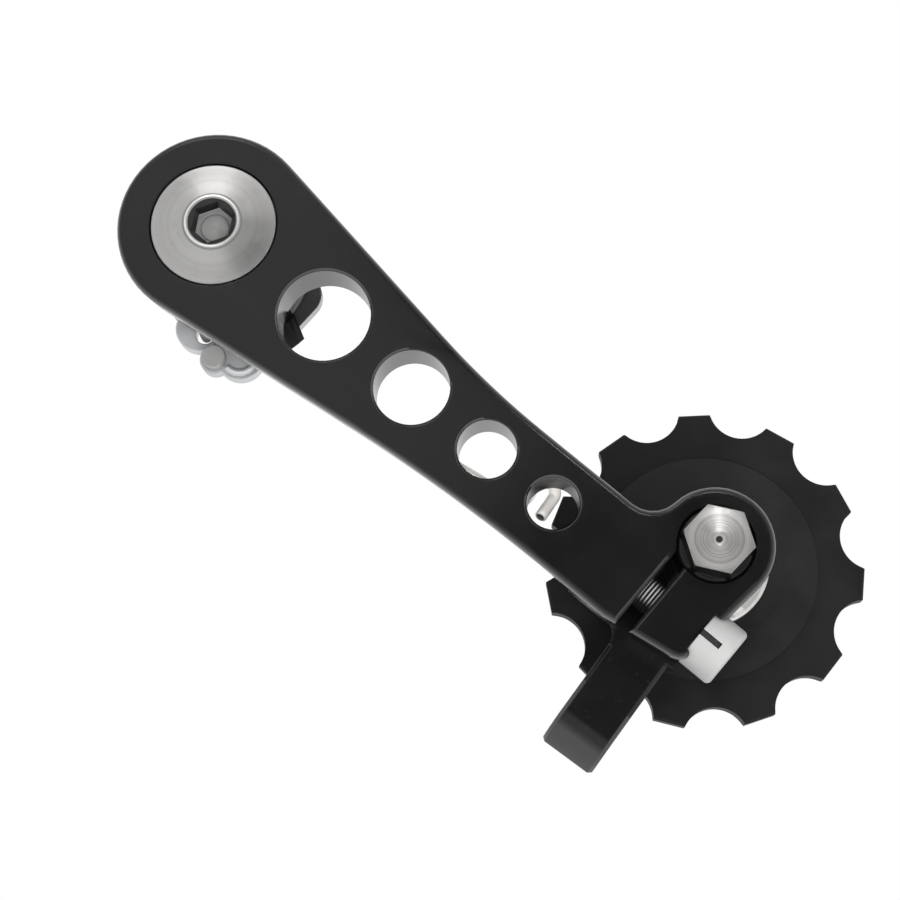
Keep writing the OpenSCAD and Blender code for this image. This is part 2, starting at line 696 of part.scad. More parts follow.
// One thin shield that closes the bearing, pressed into the outer race
module shield(z) {
    translate([axle_at[0], axle_at[1], z]) ring(inner_race_r + shield_seat, outer_race_r, shield_t);
}
module front_shield() color("silver") shield(bearing_z + bearing_w - shield_inset - shield_t);
module rear_shield() color("silver") shield(bearing_z + shield_inset);
module pulley() color([0.06, 0.06, 0.06]) {
    half = tooth_t / 2;
    lip_half = bearing_w / 2 + lip_rise;
    translate([axle_at[0], axle_at[1], bearing_mid]) difference() {
        union() {
            rotate([0, 0, tooth_phase + tooth_step / 2]) {
                translate([0, 0, tooth_bevel - half])
                    cylinder(r = tip_corner_r, h = tooth_t - 2 * tooth_bevel, $fn = teeth);
                translate([0, 0, half - tooth_bevel])
                    cylinder(r1 = tip_corner_r, r2 = tip_bevel_r, h = tooth_bevel, $fn = teeth);
                translate([0, 0, -half])
                    cylinder(r1 = tip_bevel_r, r2 = tip_corner_r, h = tooth_bevel, $fn = teeth);
            }
            translate([0, 0, -half - web_rise]) cylinder(r = web_r, h = tooth_t + 2 * web_rise);
            translate([0, 0, -lip_half]) cylinder(r = lip_r, h = 2 * lip_half);
        }
        for (i = [0 : teeth - 1]) rotate([0, 0, tooth_phase + tooth_step * (i + 0.5)])
            translate([pitch_r + valley_shift, 0, -half - over])
                cylinder(r = valley_cut_r, h = tooth_t + 2 * over);
        translate([0, 0, -lip_half - over]) cylinder(r = bearing_r, h = 2 * (lip_half + over));
    }
}

arm();
pivot_bolt();
pivot_bushing();
thrust_washer();
pivot_clip();
stop_plate();
stop_pin();
torsion_spring();
pinch_bolt();
axle();
axle_washer();
axle_clip();
inner_race();
outer_race();
ball_cage();
front_shield();
rear_shield();
pulley();
for (i = [1 : ball_count]) ball(i);
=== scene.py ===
import math

import bmesh
import bpy
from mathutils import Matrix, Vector


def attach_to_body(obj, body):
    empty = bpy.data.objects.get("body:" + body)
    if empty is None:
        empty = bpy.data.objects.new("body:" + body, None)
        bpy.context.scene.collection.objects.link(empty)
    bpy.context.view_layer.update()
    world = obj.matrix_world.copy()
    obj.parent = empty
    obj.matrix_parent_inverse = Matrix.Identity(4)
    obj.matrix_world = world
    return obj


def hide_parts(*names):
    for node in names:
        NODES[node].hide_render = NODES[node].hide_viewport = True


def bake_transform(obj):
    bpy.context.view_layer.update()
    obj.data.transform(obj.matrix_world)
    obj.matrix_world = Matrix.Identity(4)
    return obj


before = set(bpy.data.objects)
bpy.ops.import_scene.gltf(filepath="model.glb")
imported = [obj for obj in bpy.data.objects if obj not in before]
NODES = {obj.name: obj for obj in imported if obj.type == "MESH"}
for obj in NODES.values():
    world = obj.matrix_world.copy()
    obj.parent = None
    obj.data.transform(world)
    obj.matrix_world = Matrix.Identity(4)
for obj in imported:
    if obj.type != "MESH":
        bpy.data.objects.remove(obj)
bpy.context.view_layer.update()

# Pieces and places on the part are written in millimetres, and MM turns them into Blender's metres
MM = 0.001
WHITE = (1, 1, 1, 1)
FULL_TURN = 2 * math.pi

# The pivot's axis is x = y = 0, and the front of the arm faces +z
PIVOT = (0.0, 0.0)
AXLE = (78.4, 9.2)
PINCH_Y, PINCH_Z = -0.75, 19.1
WIRE_D = 1.6


# Camera, fitted to the edges of the whole object in the photo
def camera(location, quaternion, lens, sensor=36):
    data = bpy.data.cameras.new("camera")
    data.sensor_fit = "HORIZONTAL"
    data.sensor_width = sensor
    data.lens = lens
    data.clip_start = 0.01
    data.clip_end = 10
    obj = bpy.data.objects.new("camera", data)
    bpy.context.scene.collection.objects.link(obj)
    obj.rotation_mode = "QUATERNION"
    obj.rotation_quaternion = quaternion
    obj.location = location
    bpy.context.scene.camera = obj


camera((0.089508, -0.040031, 0.260442), (0.932040, 0.103014, 0.060869, 0.342030), lens=75.893)
bpy.context.scene.view_settings.view_transform = "Standard"


# Node helpers
def attach(tree, socket, value):
    """Links a node's output to a socket, or sets the socket to a plain value."""
    if isinstance(value, bpy.types.NodeSocket):
        tree.links.new(value, socket)
    elif value is not None:
        socket.default_value = value


def math_node(tree, op, a, b=None):
    node = tree.nodes.new("ShaderNodeMath")
    node.operation = op
    attach(tree, node.inputs[0], a)
    attach(tree, node.inputs[1], b)
    return node.outputs[0]


class Tree:
    """One material's nodes. A mask is 1 inside a place on the part and 0 outside it."""

    INPUTS = {"color": "Base Color", "metal": "Metallic", "rough": "Roughness", "normal": "Normal",
              "spec": "Specular IOR Level", "aniso": "Anisotropic", "tangent": "Tangent", "ior": "IOR"}

    def __init__(self, name):
        self.mat = bpy.data.materials.new(name)
        self.mat.use_nodes = True
        self.tree = self.mat.node_tree
        self.tree.nodes.clear()
        out = self.tree.nodes.new("ShaderNodeOutputMaterial")
        self.bsdf = self.tree.nodes.new("ShaderNodeBsdfPrincipled")
        self.tree.links.new(self.bsdf.outputs[0], out.inputs[0])
        self.coord = self.tree.nodes.new("ShaderNodeTexCoord").outputs["Object"]

    def node(self, kind, inputs, output=0, **settings):
        """A new node with its inputs by name or number. Gives the socket that comes out of it."""
        node = self.tree.nodes.new(kind)
        for key, value in settings.items():
            setattr(node, key, value)
        for key, value in inputs.items():
            attach(self.tree, node.inputs[key], value)
        return node.outputs[output]

    def math(self, op, a, b=None):
        return math_node(self.tree, op, a, b)

    def vec(self, op, a, b=None):
        output = "Value" if op in ("LENGTH", "DOT_PRODUCT") else 0
        return self.node("ShaderNodeVectorMath", {0: a, 1: b}, output, operation=op)

    def scale(self, vector, factor):
        return self.node("ShaderNodeVectorMath", {0: vector, "Scale": factor}, operation="SCALE")

    def noise(self, scale, vector=None, detail=3.0, rough=0.55):
        vector = self.coord if vector is None else vector
        return self.node("ShaderNodeTexNoise",
                         {"Vector": vector, "Scale": scale, "Detail": detail, "Roughness": rough})

    def fit(self, value, a, b, to_a, to_b):
        return self.node("ShaderNodeMapRange",
                         {"Value": value, "From Min": a, "From Max": b, "To Min": to_a, "To Max": to_b})

    def mix(self, factor, a, b):
        return self.node("ShaderNodeMix", {"Factor": factor, "A": a, "B": b}, "Result", data_type="RGBA")

    def join(self, x, y, z):
        return self.node("ShaderNodeCombineXYZ", {0: x, 1: y, 2: z})

    def split(self, vector):
        node = self.tree.nodes.new("ShaderNodeSeparateXYZ")
        self.tree.links.new(vector, node.inputs[0])
        return node.outputs

    def face_normal(self):
        return self.node("ShaderNodeNewGeometry", {}, "Normal")

    def bevel(self, radius):
        return self.node("ShaderNodeBevel", {"Radius": radius * MM}, samples=6)

    def bump(self, height, strength, distance, normal):
        return self.node("ShaderNodeBump", {"Height": height, "Strength": strength,
                                            "Distance": distance * MM, "Normal": normal})

    def above(self, value, limit):
        return self.math("GREATER_THAN", value, limit * MM)

    def below(self, value, limit):
        return self.math("LESS_THAN", value, limit * MM)

    def both(self, first, *others):
        for mask in others:
            first = self.math("MULTIPLY", first, mask)
        return first

    def either(self, a, b):
        return self.math("MAXIMUM", a, b)

    def outside(self, mask):
        return self.math("SUBTRACT", 1.0, mask)

    def pick(self, mask, off, on):
        return self.fit(mask, 0.0, 1.0, off, on)

    def dim(self, color, mask, share):
        """The colour, multiplied by share inside the mask."""
        return self.scale(color, self.pick(mask, 1.0, share))

    def uneven(self, noise, low, high):
        return self.fit(noise, 0.3, 0.7, low, high)

    def from_axis(self, point, across):
        """The way from a straight axis through point. across is 0 along the axis."""
        point = tuple(value * MM for value in point)
        return self.vec("MULTIPLY", self.vec("SUBTRACT", self.coord, point), across)

    def set(self, **values):
        for key, value in values.items():
            attach(self.tree, self.bsdf.inputs[self.INPUTS[key]], value)
        return self.mat


def grey(value, warm=0.0):
    return (value * (1 + warm), value, value * (1 - warm), 1.0)


# Materials. Some tones are set by place on the part, because the photo shows them so
def black_finish():
    """Gloss black coat. Walls, the arm's rounded front edge and the bar's bent tip reflect more than flat
    faces, as painted highlights. The hub behind the arm and the wall of the last hole reflect less, as
    painted shade."""
    hub_z, hub_x = 15.5, 20
    boss_x, boss_y, boss_z, clamp_x = 77.8, 11, 19.5, 72
    last_hole_x, last_hole_r, last_hole_z = 59.1, 3.7, 22
    tip_y, edge_z = -14, 21.5
    face_ior, highlight_ior, edge_highlight_ior, painted_shade_ior = 1.38, 1.75, 2.3, 1.1
    t = Tree("black_finish")
    fine = t.noise(2600, detail=4)
    wide = t.noise(160, detail=2)
    speck = t.fit(t.noise(1500, detail=1), 0.70, 0.76, 0, 1)
    normal = t.bump(fine, 0.12, 0.03, t.bump(wide, 0.08, 0.06, t.bevel(0.25)))
    color = t.mix(t.math("MULTIPLY", speck, 0.25), grey(0.0035), grey(0.016, 0.02))
    x, y, z = t.split(t.coord)
    flatness = t.math("ABSOLUTE", t.split(t.face_normal())[2])
    # Painted shade: the hub behind the arm and the last hole's wall get a low IOR, and the hub a low
    # specular level
    hub = t.both(t.below(z, hub_z), t.below(x, hub_x))
    last_hole = t.below(t.vec("LENGTH", t.from_axis((last_hole_x, 0, 0), (1, 1, 0))), last_hole_r)
    painted_shade_spots = t.either(hub, t.both(last_hole, t.below(z, last_hole_z)))
    boss = t.both(t.either(t.above(x, boss_x), t.above(y, boss_y)), t.above(z, boss_z))
    # Painted highlights: walls by the boss and the clamp, the bar's bent tip and the arm's rounded front
    # edge get a higher IOR
    wall = t.both(t.fit(flatness, 0.0, 0.6, 1.0, 0.0), t.either(boss, t.below(x, clamp_x)),
                  t.outside(hub), t.outside(last_hole))
    tip = t.both(t.fit(flatness, 0.90, 0.97, 1.0, 0.0), t.below(y, tip_y))
    edge = t.both(t.fit(flatness, 0.5, 0.95, 1.0, 0.0), t.above(z, edge_z),
                  t.math("GREATER_THAN", flatness, 0.12))
    ior = t.pick(painted_shade_spots, t.pick(t.either(wall, tip), face_ior, highlight_ior), painted_shade_ior)
    return t.set(color=color, rough=t.uneven(wide, 0.16, 0.24), normal=normal,
                 ior=t.pick(edge, ior, edge_highlight_ior), spec=t.pick(hub, 0.5, 0.08))


def metal(name, base, rough, warm=0.01, grain=900, wear=0.12, bevel=0.12, blue=0.0, shine=1.0, dimmed=None):
    """Metal with a fine grain. dimmed, if given, takes the nodes and the colour and darkens some places."""
    t = Tree(name)
    fine = t.noise(grain, detail=4)
    wide = t.noise(grain / 7, detail=3)
    tones = []
    for share in (1 - wear, 1 + wear / 2):
        red, green, blue_part, alpha = grey(base * share, warm)
        tones.append((red * (1 - blue), green, blue_part * (1 + blue), alpha))
    color = t.mix(t.fit(wide, 0.35, 0.65, 0, 1), *tones)
    if dimmed:
        color = dimmed(t, color)
    return t.set(color=color, metal=shine, rough=t.uneven(wide, rough * 0.8, rough * 1.25),
                 normal=t.bump(fine, 0.12, 0.02, t.bevel(bevel)))


def zinc_plate():
    """Worn zinc. The front of the corner behind the first hole is darkened as painted shade from the arm
    above it.
    """
    corner_x, corner_y, soft, share = 4.5, -2.5, 2, 0.25

    def dimmed(t, color):
        x, y, _ = t.split(t.coord)
        # Painted shade: the upward faces of the corner under the arm are darkened
        corner = t.both(t.math("GREATER_THAN", t.split(t.face_normal())[2], 0.5),
                        t.fit(x, (corner_x - soft) * MM, corner_x * MM, 0.0, 1.0),
                        t.fit(y, (corner_y - soft) * MM, corner_y * MM, 0.0, 1.0))
        return t.dim(color, corner, share)

    return metal("zinc_plate", 0.5, 0.3, 0.0, grain=420, wear=0.35, blue=0.02, bevel=0.3, shine=0.75,
                 dimmed=dimmed)


def spring_wire():
    """Drawn wire with painted shade: bright at the hook, darker along the leg and darkest in the coil under
    the arm. Its cut end face is made near black.
    """
    coil_x, hook_x, coil_share = 18.0, 50.0, 0.12
    cut_direction, cut_share = (0.141, -0.889, 0.436), 0.03

    def dimmed(t, color):
        x = t.split(t.coord)[0]
        # Painted shade: the colour falls from the hook towards the coil, which sits in shade under the arm
        color = t.scale(color, t.fit(x, coil_x * MM, hook_x * MM, coil_share, 1.0))
        cut = t.fit(t.vec("DOT_PRODUCT", t.face_normal(), cut_direction), 0.9, 0.95, 0.0, 1.0)
        return t.dim(color, t.both(cut, t.above(x, hook_x)), cut_share)

    return metal("spring_wire", 0.9, 0.45, 0.04, shine=0.25, dimmed=dimmed)


def bolt_steel():
    """Satin steel, with painted shade in the head's marking groove, in the thread's roots and along the
    shank's sides.
    """
    groove_half_w, groove_z, groove_x = 0.41, 22.6, 86.9
    shank_x, root_r, crest_r, side_from, side_to = 83.8, 2.34, 2.44, 0.9, 1.7
    t = Tree("bolt_steel")
    x, y, z = t.split(t.coord)
    across = t.math("ABSOLUTE", t.math("ADD", y, -PINCH_Y * MM))
    groove = t.both(t.below(across, groove_half_w), t.above(z, groove_z), t.below(x, groove_x))
    r = t.vec("LENGTH", t.from_axis((0, PINCH_Y, PINCH_Z), (0, 1, 1)))
    root = t.fit(r, root_r * MM, crest_r * MM, 1.0, 0.0)
    side = t.fit(across, side_from * MM, side_to * MM, 0.0, 1.0)
    shade = t.both(t.below(x, shank_x), t.either(root, side))
    fine = t.noise(1200, detail=4)
    wide = t.noise(170, detail=3)
    color = t.mix(t.fit(wide, 0.35, 0.65, 0, 1), grey(0.33, 0.006), grey(0.39, 0.006))
    # Painted shade: the groove loses colour and reflection, and the thread's roots and the shank's sides
    # turned from the light are darkened
    color = t.dim(t.dim(color, groove, 0.06), shade, 0.03)
    return t.set(color=color, metal=t.pick(groove, 0.5, 0.1), rough=t.uneven(wide, 0.5, 0.62),
                 spec=t.pick(groove, 0.5, 0.0), normal=t.bump(fine, 0.12, 0.02, t.bevel(0.2)))


def band(r, z, share, shine=None, x_max=None):
    """A place on a turned piece between two radii and two heights, whose colour is multiplied by share."""
    return r, z, share, shine, x_max


def turned(name, base, rough, centre, coarse, warm, strength, bands, shine=1.0, uneven=0.18, line=0.0,
           crown=0.0):
    """Metal faced on a lathe: fine rings about an axis parallel to z. line is how dark the tool's rings are,
    and crown tilts the shading outwards, as on a face that is slightly domed."""
    soft = 1.5
    t = Tree(name)
    flat = t.from_axis((*centre, 0), (1, 1, 0))
    r = t.math("MULTIPLY", t.vec("LENGTH", flat), 1 / MM)
    x, _, z = t.split(t.coord)
    rings = t.noise(coarse, t.join(r, 0.0, 0.0), detail=5, rough=0.7)
    broad = t.noise(coarse / 5, t.join(r, 3.0, 0.0), detail=1)
    smear = t.noise(380, detail=3)
    color = t.mix(t.uneven(broad, 0, 1), grey(base * (1 - uneven), warm), grey(base * 1.08, warm))
    color = t.mix(t.fit(smear, 0.55, 0.8, 0, 0.35), color, grey(base * 0.6, warm))
    if line:
        ring = t.noise(2.4, t.join(r, 7.0, 0.0), detail=2, rough=0.6)
        color = t.scale(color, t.fit(ring, 0.50, 0.58, 1.0, 1 - line))
    metallic = shine
    for (r_min, r_max), (z_min, z_max), share, band_shine, x_max in bands:
        inside = t.both(t.math("GREATER_THAN", r, r_min), t.math("LESS_THAN", r, r_max),
                        t.above(z, z_min), t.below(z, z_max))
        if x_max is not None:
            inside = t.both(inside, t.fit(x, (x_max - soft) * MM, x_max * MM, 1.0, 0.0))
        color = t.dim(color, inside, share)
        if band_shine is not None:
            metallic = t.pick(inside, metallic, band_shine)
    # The small push keeps the tangent defined on the axis itself
    tangent = t.vec("NORMALIZE", t.vec("ADD", flat, (1e-6, 0.0, 0.0)))
    normal = t.bump(rings, strength, 0.03, t.bevel(0.15))
    if crown:
        outward = t.scale(t.vec("NORMALIZE", flat), crown)
        normal = t.vec("NORMALIZE", t.vec("ADD", normal, outward))
    return t.set(color=color, metal=metallic, rough=rough, aniso=0.85, tangent=tangent, normal=normal)


def polished_steel():
    """The pivot bolt: a finely turned dome, a painted highlight ring round the socket with a painted shade
    line just outside it, a socket darkened as painted shade, and a duller thread.
    """
    thread = band(r=(0, 6.0), z=(-9.6, -0.2), share=0.65)
    # Painted highlight: a bright ring at the socket's opening, and a painted shade line just outside it
    mouth = band(r=(3.42, 3.7), z=(23.7, 24.1), share=1.9)
    round_mouth = band(r=(3.84, 4.02), z=(23.0, 24.1), share=0.7)
    # Painted shade in the socket: dark walls and a darker, less metallic floor
    socket_wall = band(r=(0, 3.24), z=(21.25, 23.87), share=0.12)
    socket_floor = band(r=(0, 2.95), z=(20.9, 21.25), share=0.45, shine=0.4)
    return turned("polished_steel", 0.39, 0.34, PIVOT, coarse=9.0, warm=0.012, strength=0.06,
                  bands=[thread, mouth, round_mouth, socket_wall, socket_floor], uneven=0.04)


def turned_steel():
    """The axle: a hexagon with turned rings. Painted shade darkens its centre dimple, the body in the slit
    and in the clamp, and the hexagon's sides as a painted reflection of the black arm; a painted highlight
    brightens the flange.
    """
    # Painted shade: the body where it shows in the slit and in the clamp, the hexagon's sides (a painted
    # reflection of the black arm) and the centre dimple
    seen_in_slit = band(r=(4.6, 99), z=(6.6, 15.0), share=0.05, x_max=77.5)
    in_clamp = band(r=(3.9, 5.3), z=(15.0, 22.9), share=0.06)
    hexagon_sides = band(r=(3.9, 5.0), z=(22.9, 26.2), share=0.15)
    dimple = band(r=(0, 0.42), z=(25.0, 26.44), share=0.12)
    # Painted highlight: the flange is brightened
    flange = band(r=(5.0, 9.0), z=(6.0, 9.0), share=1.5)
    return turned("turned_steel", 0.47, 0.3, AXLE, coarse=4.2, warm=0.02, strength=1.0,
                  bands=[seen_in_slit, in_clamp, hexagon_sides, dimple, flange], shine=0.9, line=0.28,
                  crown=0.13)


def black_plastic():
    """Matt black plastic. The pulley's raised web gets a slightly higher IOR than its teeth, as a painted
    sheen.
    """
    web_z, rim_ior, web_ior = 5.4, 1.19, 1.27
    t = Tree("black_plastic")
    fine = t.noise(1800, detail=4)
    wide = t.noise(120, detail=2)
    # Painted sheen: a higher IOR on the raised web
    web = t.above(t.split(t.coord)[2], web_z)
    return t.set(color=t.mix(t.uneven(wide, 0, 1), grey(0.005), grey(0.009, 0.01)),
                 rough=t.uneven(wide, 0.42, 0.55), normal=t.bump(fine, 0.18, 0.03, t.bevel(0.18)),
                 ior=t.pick(web, rim_ior, web_ior))


MATS = {
    "black_finish": black_finish(),
    "polished_steel": polished_steel(),
    "turned_steel": turned_steel(),
    "bolt_steel": bolt_steel(),
    "plain_steel": metal("plain_steel", 0.46, 0.38),
    "zinc_plate": zinc_plate(),
    "pin_steel": metal("pin_steel", 0.40, 0.4, grain=700, wear=0.2, bevel=0.25, shine=0.7),
    "spring_wire": spring_wire(),
    "spring_steel": metal("spring_steel", 0.12, 0.4),
    "bearing_steel": metal("bearing_steel", 0.55, 0.18, grain=1500, wear=0.05),
    "bronze": metal("bronze", 0.42, 0.35, 0.25),
    "black_plastic": black_plastic(),
}

SLOT_OF = {
    "arm": "black_finish", "pivot_bolt": "polished_steel", "pivot_bushing": "bronze",
    "thrust_washer": "plain_steel", "pivot_clip": "spring_steel", "stop_plate": "zinc_plate",
    "stop_pin": "pin_steel", "torsion_spring": "spring_wire", "pinch_bolt": "bolt_steel",
    "axle": "turned_steel", "axle_washer": "plain_steel", "axle_clip": "spring_steel",
    "inner_race": "bearing_steel", "outer_race": "bearing_steel", "ball_cage": "bronze",
    "front_shield": "plain_steel", "rear_shield": "plain_steel", "pulley": "black_plastic",
}
for name in NODES:
    if name.startswith("ball_") and name != "ball_cage":
        SLOT_OF[name] = "bearing_steel"

for name, obj in NODES.items():
    obj.data.materials.clear()
    obj.data.materials.append(MATS[SLOT_OF[name]])


# Mesh helpers
def add(name, bm, node, body=None, sharp=30):
    """A finished mesh piece that stands for one CAD node."""
    mesh = bpy.data.meshes.new(name)
    bmesh.ops.recalc_face_normals(bm, faces=bm.faces)
    bm.to_mesh(mesh)
    bm.free()
    mesh.shade_smooth()
    mesh.set_sharp_from_angle(angle=math.radians(sharp))
    obj = bpy.data.objects.new(name, mesh)
    bpy.context.scene.collection.objects.link(obj)
    mesh.materials.append(MATS[SLOT_OF[node]])
    if body:
        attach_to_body(obj, body)
    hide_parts(node)
    return obj


def skin(node, body, sharp):
    """The node's own shape with its facets shaded as the curved faces they stand for."""
    bm = bmesh.new()
    bm.from_mesh(NODES[node].data)
    bmesh.ops.remove_doubles(bm, verts=bm.verts, dist=1e-7)
    bmesh.ops.dissolve_limit(bm, angle_limit=math.radians(0.2), verts=bm.verts, edges=bm.edges)
    obj = add(node + "_body", bm, node, body=body, sharp=sharp)
    shading = obj.modifiers.new("normals", "WEIGHTED_NORMAL")
    shading.mode = "FACE_AREA"
    shading.weight = 80
    shading.keep_sharp = True


def grid(bm, rings, caps=False):
    """Joins closed rings of points in mm, and closes the first and last one if caps is set."""
    rows = [[bm.verts.new(Vector(point) * MM) for point in ring] for ring in rings]
    count = len(rows[0])
    for a, b in zip(rows, rows[1:]):
        for i in range(count):
            j = (i + 1) % count
            bm.faces.new((a[i], a[j], b[j], b[i]))
    if caps:
        bm.faces.new(rows[0][::-1])
        bm.faces.new(rows[-1])


def revolved(rings):
    """A closed mesh from rings of points, whose ring on the axis shrinks to one point."""
    bm = bmesh.new()
    grid(bm, rings)
    bmesh.ops.remove_doubles(bm, verts=bm.verts, dist=1e-8)
    bmesh.ops.holes_fill(bm, edges=[edge for edge in bm.edges if len(edge.link_faces) == 1])
    return bm


def polar(r, degrees):
    angle = math.radians(degrees)
    return r * math.cos(angle), r * math.sin(angle)


def hex_radius(angle, flats):
    """How far a hexagon's side is from its centre at an angle in radians."""
    from_side = math.degrees(angle) % 60 - 30
    return flats / 2 / math.cos(math.radians(from_side))


def fillet(before, corner, after, r, steps):
    """Points of a round of radius r in the corner between two other points."""
    before, corner, after = Vector(before), Vector(corner), Vector(after)
    a, b = (before - corner).normalized(), (after - corner).normalized()
    half = a.angle(b) / 2
    reach = r / math.tan(half)
    centre = corner + (a + b).normalized() * (r / math.sin(half))
    start, end = corner + a * reach - centre, corner + b * reach - centre
    turn = start.angle(end)
    points = []
    for i in range(steps + 1):
        done = i / steps
        spoke = start * math.sin((1 - done) * turn) + end * math.sin(done * turn)
        points.append(tuple(centre + spoke / math.sin(turn)))
    return points


# Pieces
def pivot_bolt():
    """Domed head with a hex socket, journal, clip groove and M10 thread."""
    sides = 144
    tip_z, tip_r, thread_start, turns, pitch = -9.5, 4.2, -9.3, 9, 1.0
    root_r, crest_r, neck_r, journal_r = 4.42, 5.0, 4.5, 5.5
    groove_r, groove_z, groove_top = 4.8, 0.1, 0.9
    head_r, head_z, rim_z, edge = 8.4, 21.8, 22.6, 0.06
    lip, lip_drop, lip_rise, lip_steps = 0.22, 0.12, 0.14, 4
    ring_r, ring_top = 3.58, 23.95
    dome_foot, dome_steps, dome_rise, dome_power = ring_r + 0.35, 14, 1.02, 1.25
    key_w, key_corner_r, mouth_z, key_z, floor_z = 5.0, 3.0, 23.33, 23.2, 21.1
    disc_r, line_w, line_depth = 1.95, 0.1, 0.12
    one_turn = ((root_r, 0.0), (crest_r - 0.02, 0.38), (crest_r, 0.5), (root_r, 0.88))
    mouth_ring = ((0.24, 0.16), (0.14, 0.05), (0.0, 0.0), (-0.14, 0.0), (-0.22, 0.09))

    profile = [(0.0, tip_z), (tip_r, tip_z)]
    for i in range(turns):
        profile += [(r, thread_start + pitch * i + z) for r, z in one_turn]
    profile += [(neck_r, -0.35), (neck_r, 0.0), (journal_r - 0.08, 0.0), (journal_r, 0.08)]
    profile += [(journal_r, groove_z), (groove_r, groove_z), (groove_r, groove_top), (journal_r, groove_top)]
    profile += [(journal_r, head_z), (head_r - edge, head_z), (head_r, head_z + edge)]
    profile += [(head_r, rim_z - lip_drop)]
    for i in range(lip_steps + 1):
        a = math.radians(90 * i / lip_steps)
        profile.append((head_r - lip + lip * math.cos(a), rim_z - lip_drop + lip_rise * math.sin(a)))
    for i in range(1, dome_steps + 1):
        done = i / dome_steps
        r = head_r - lip + (dome_foot - head_r + lip) * done
        profile.append((r, rim_z - lip_drop + lip_rise + dome_rise * (1 - (1 - done) ** dome_power)))
    profile += [(ring_r + out, ring_top - down) for out, down in mouth_ring]

    def round_ring(r, z):
        angles = (FULL_TURN * i / sides for i in range(sides))
        return [(r * math.cos(a), r * math.sin(a), z) for a in angles]

    def hex_ring(flats, z):
        ring = []
        for i in range(sides):
            a = FULL_TURN * i / sides
            r = min(hex_radius(a, flats), key_corner_r)
            ring.append((r * math.cos(a), r * math.sin(a), z))
        return ring

    rings = [round_ring(r, z) for r, z in profile]
    rings += [hex_ring(key_w + 0.04, mouth_z), hex_ring(key_w, key_z)]
    rings += [hex_ring(key_w, floor_z + 0.1), hex_ring(key_w - 0.1, floor_z)]
    rings += [round_ring(disc_r + line_w + 0.04, floor_z), round_ring(disc_r + line_w, floor_z - line_depth)]
    rings += [round_ring(disc_r, floor_z - line_depth), round_ring(disc_r - 0.08, floor_z)]
    add("pivot_bolt_body", revolved(rings), "pivot_bolt", body="hanger_bolt")


def pinch_bolt():
    """Socket head with a marking groove, and a thread that shows in the slit."""
    sides = 120
    seat_x, shank_len, tip_r = 83.9, 16.0, 2.0
    thread_start, turns, pitch, root_r, crest_r = -15.7, 30, 0.5, 2.2, 2.48
    head_r, head_h, seat_round, front_round = 4.15, 4.8, 0.15, 0.7
    groove_w, groove_depth, groove_end = 0.8, 0.35, 0.62 * head_h
    key_w, mouth_r, tiny = 4.0, 2.6, 1e-3
    one_turn = ((0.0, root_r), (0.2, crest_r), (0.28, crest_r), (0.48, root_r))
    socket = ((0.1, key_w + 0.3), (0.3, key_w), (2.5, key_w), (2.9, key_w - 0.6))

    half = math.asin(groove_w / 2 / head_r)
    plain = [FULL_TURN * i / sides for i in range(sides)]
    angles = [a for a in plain if half < a < FULL_TURN - half]
    angles = sorted(angles + [half - tiny, half, -half, tiny - half, 0.0])

    profile = [(-shank_len, 0.0), (-shank_len, tip_r)]
    for i in range(turns):
        profile += [(thread_start + pitch * i + s, r) for s, r in one_turn]
    profile += [(-0.4, root_r), (0.0, 2.5), (0.0, head_r - seat_round)]
    profile += fillet((0.0, 0.0), (0.0, head_r), (head_h, head_r), seat_round, 3)[1:]
    profile += [(groove_end, head_r), (groove_end + 0.02, head_r)]
    profile += fillet((0.0, head_r), (head_h, head_r), (head_h, 0.0), front_round, 8)
    profile += [(head_h, mouth_r)]

    def at(s, r, a):
        return seat_x + s, PINCH_Y + r * math.sin(a), PINCH_Z + r * math.cos(a)

    rings = []
    for s, r in profile:
        grooved = r > head_r - seat_round and s <= groove_end
        rings.append([at(s, head_r - groove_depth if grooved and abs(a) < half - tiny / 2 else r, a)
                      for a in angles])
    for depth, flats in socket:
        rings.append([at(head_h - depth, hex_radius(a, flats), a) for a in angles])
    add("pinch_bolt_body", revolved(rings), "pinch_bolt", body="swing_arm")


def spring_path():
    """From the plate's hole up the coil, along the leg behind the arm, and round the hook to its cut end."""
    coil_r, turns, step_degrees, leg_degrees, leg_len = 10.2, 5, 6, 9.0, 52.8
    coil_low, coil_high, hook_r, drop = 4.1, 14.65, 1.5, 3.3
    end_low, end_high, hole_x, hole_y, lead_degrees = 1.5, 2.9, 1.7, -9.6, 7
    first = math.degrees(math.atan2(hole_y, hole_x)) + lead_degrees
    last = leg_degrees - 90
    sweep = 360 * turns + (last - first) % 360 - 360

    points = [(*polar(coil_r, first), end_low), (*polar(coil_r, first), end_high)]
    count = int(sweep / step_degrees)
    for i in range(count + 1):
        z = coil_low + (coil_high - coil_low) * i / count
        points.append((*polar(coil_r, first + sweep * i / count), z))

    foot, along, across = polar(coil_r, last), polar(1, leg_degrees), polar(1, leg_degrees + 90)

    def at(u, v, z=coil_high):
        return foot[0] + u * along[0] + v * across[0], foot[1] + u * along[1] + v * across[1], z

    for i in range(1, 12):
        points.append(at(leg_len * i / 12, 0))
    for i in range(9):
        u, v = polar(hook_r, 90 * i / 8)
        points.append(at(leg_len + v, hook_r - u))
    for i in range(1, 17):
        u, v = polar(hook_r, 180 * i / 16)
        points.append(at(leg_len + 2 * hook_r - u, 2 * hook_r + v))
    for i in range(1, 6):
        done = i / 5
        points.append(at(leg_len + 3 * hook_r, 2 * hook_r - drop * done, coil_high + WIRE_D * done))
    return points


